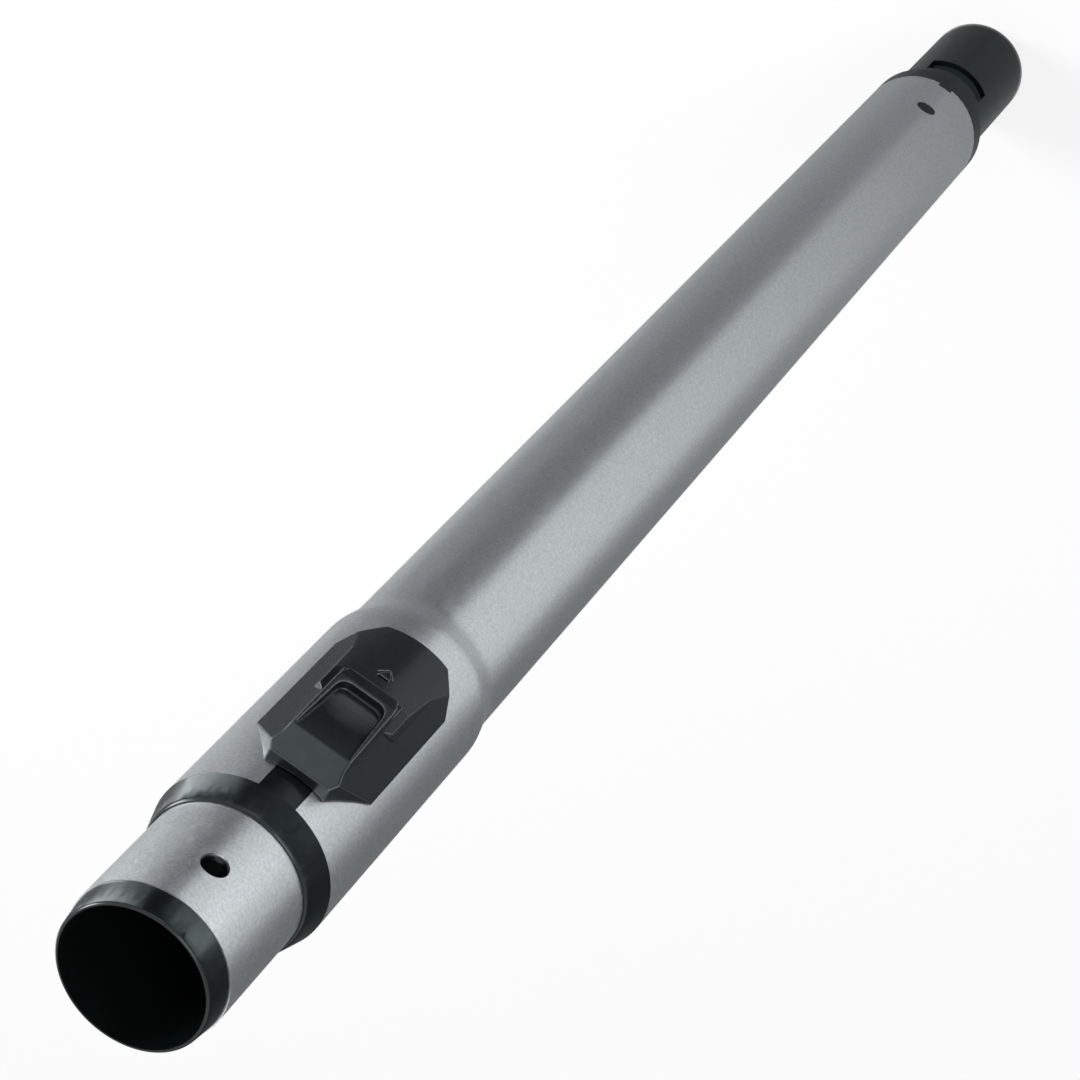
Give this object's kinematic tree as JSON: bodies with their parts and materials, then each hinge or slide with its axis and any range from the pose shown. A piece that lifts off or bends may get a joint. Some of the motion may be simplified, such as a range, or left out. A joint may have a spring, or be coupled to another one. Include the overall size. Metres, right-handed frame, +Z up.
{
  "type": "telescopic vacuum wand",
  "caption": "Telescopic suction wand: a detented inner tube slides in a swaged steel outer tube and is locked by a thumb slide; black socket, guide collar and nozzle spigot.",
  "frame": {"origin": "on the wand's axis, at the open end of the nozzle spigot on which it stands", "axes": "+Z up the axis towards the handle socket, -Y towards the thumb slide"},
  "size_m": [0.0448, 0.0521, 0.626],
  "materials": {
    "lacquered_steel": "silver lacquer over steel tube, fine metallic grain, satin",
    "black_plastic": "moulded, fine matt texture",
    "slide_plastic": "moulded, satin with lightly polished edges",
    "bare_steel": "bright drawn steel"
  },
  "bodies": {
    "outer": {"outer_tube": "lacquered_steel", "guide_sleeve": "black_plastic", "nozzle_connector": "black_plastic", "return_spring": "bare_steel"},
    "inner": {"inner_tube": "lacquered_steel", "socket_liner": "black_plastic", "end_bush": "black_plastic"},
    "slide": {"thumb_slide": "slide_plastic"},
    "roller": {"lock_roller": "bare_steel"}
  },
  "joints": [
    {"name": "telescope", "type": "slide", "parent": "outer", "child": "inner", "axis": [0, 0, 1], "range_m": [0, 0.36]},
    {"name": "slide_press", "type": "slide", "parent": "outer", "child": "slide", "axis": [0, 0, -1], "range_m": [0, 0.006], "stiffness_N_per_m": 400, "springref_m": -0.008, "deforming": ["return_spring"]},
    {"name": "roller_lift", "type": "slide", "parent": "outer", "child": "roller", "axis": [0, -1, 0], "range_m": [0, 0.0018]}
  ],
  "couplings": [
    {"joint": "roller_lift", "follows": "slide_press", "ratio": 0.3}
  ]
}
